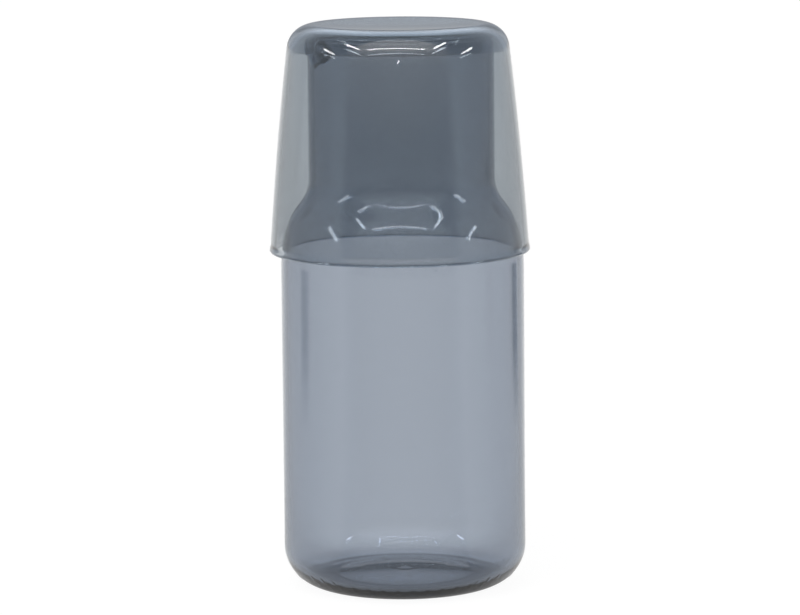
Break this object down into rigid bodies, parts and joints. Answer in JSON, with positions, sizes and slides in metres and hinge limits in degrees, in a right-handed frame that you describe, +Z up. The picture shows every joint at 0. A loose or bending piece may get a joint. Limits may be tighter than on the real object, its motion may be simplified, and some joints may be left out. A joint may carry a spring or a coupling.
{
  "type": "bedside carafe with tumbler",
  "caption": "Straight-sided smoke-grey glass carafe with a wide neck, covered by its own tumbler turned upside down, which rests on the lip and can be lifted off.",
  "frame": {"origin": "centre of the carafe's foot ring, on the surface that it stands on", "axes": "+Z up along the carafe's axis, through the mouth and the upturned base of the tumbler; the part is round, and the loose tumbler sits 0.9 mm off the axis towards -X"},
  "size_m": [0.0922, 0.0922, 0.1999],
  "materials": {
    "carafe_glass": "clear smoke-grey soda-lime glass, fire-polished",
    "tumbler_glass": "clear smoke-grey soda-lime glass, fire-polished rim"
  },
  "bodies": {
    "carafe": {"carafe": "carafe_glass"},
    "tumbler": {"tumbler": "tumbler_glass"}
  },
  "joints": [
    {"name": "tumbler_lift", "type": "slide", "parent": "carafe", "child": "tumbler", "axis": [0, 0, 1], "range_m": [0, 0.1]}
  ]
}
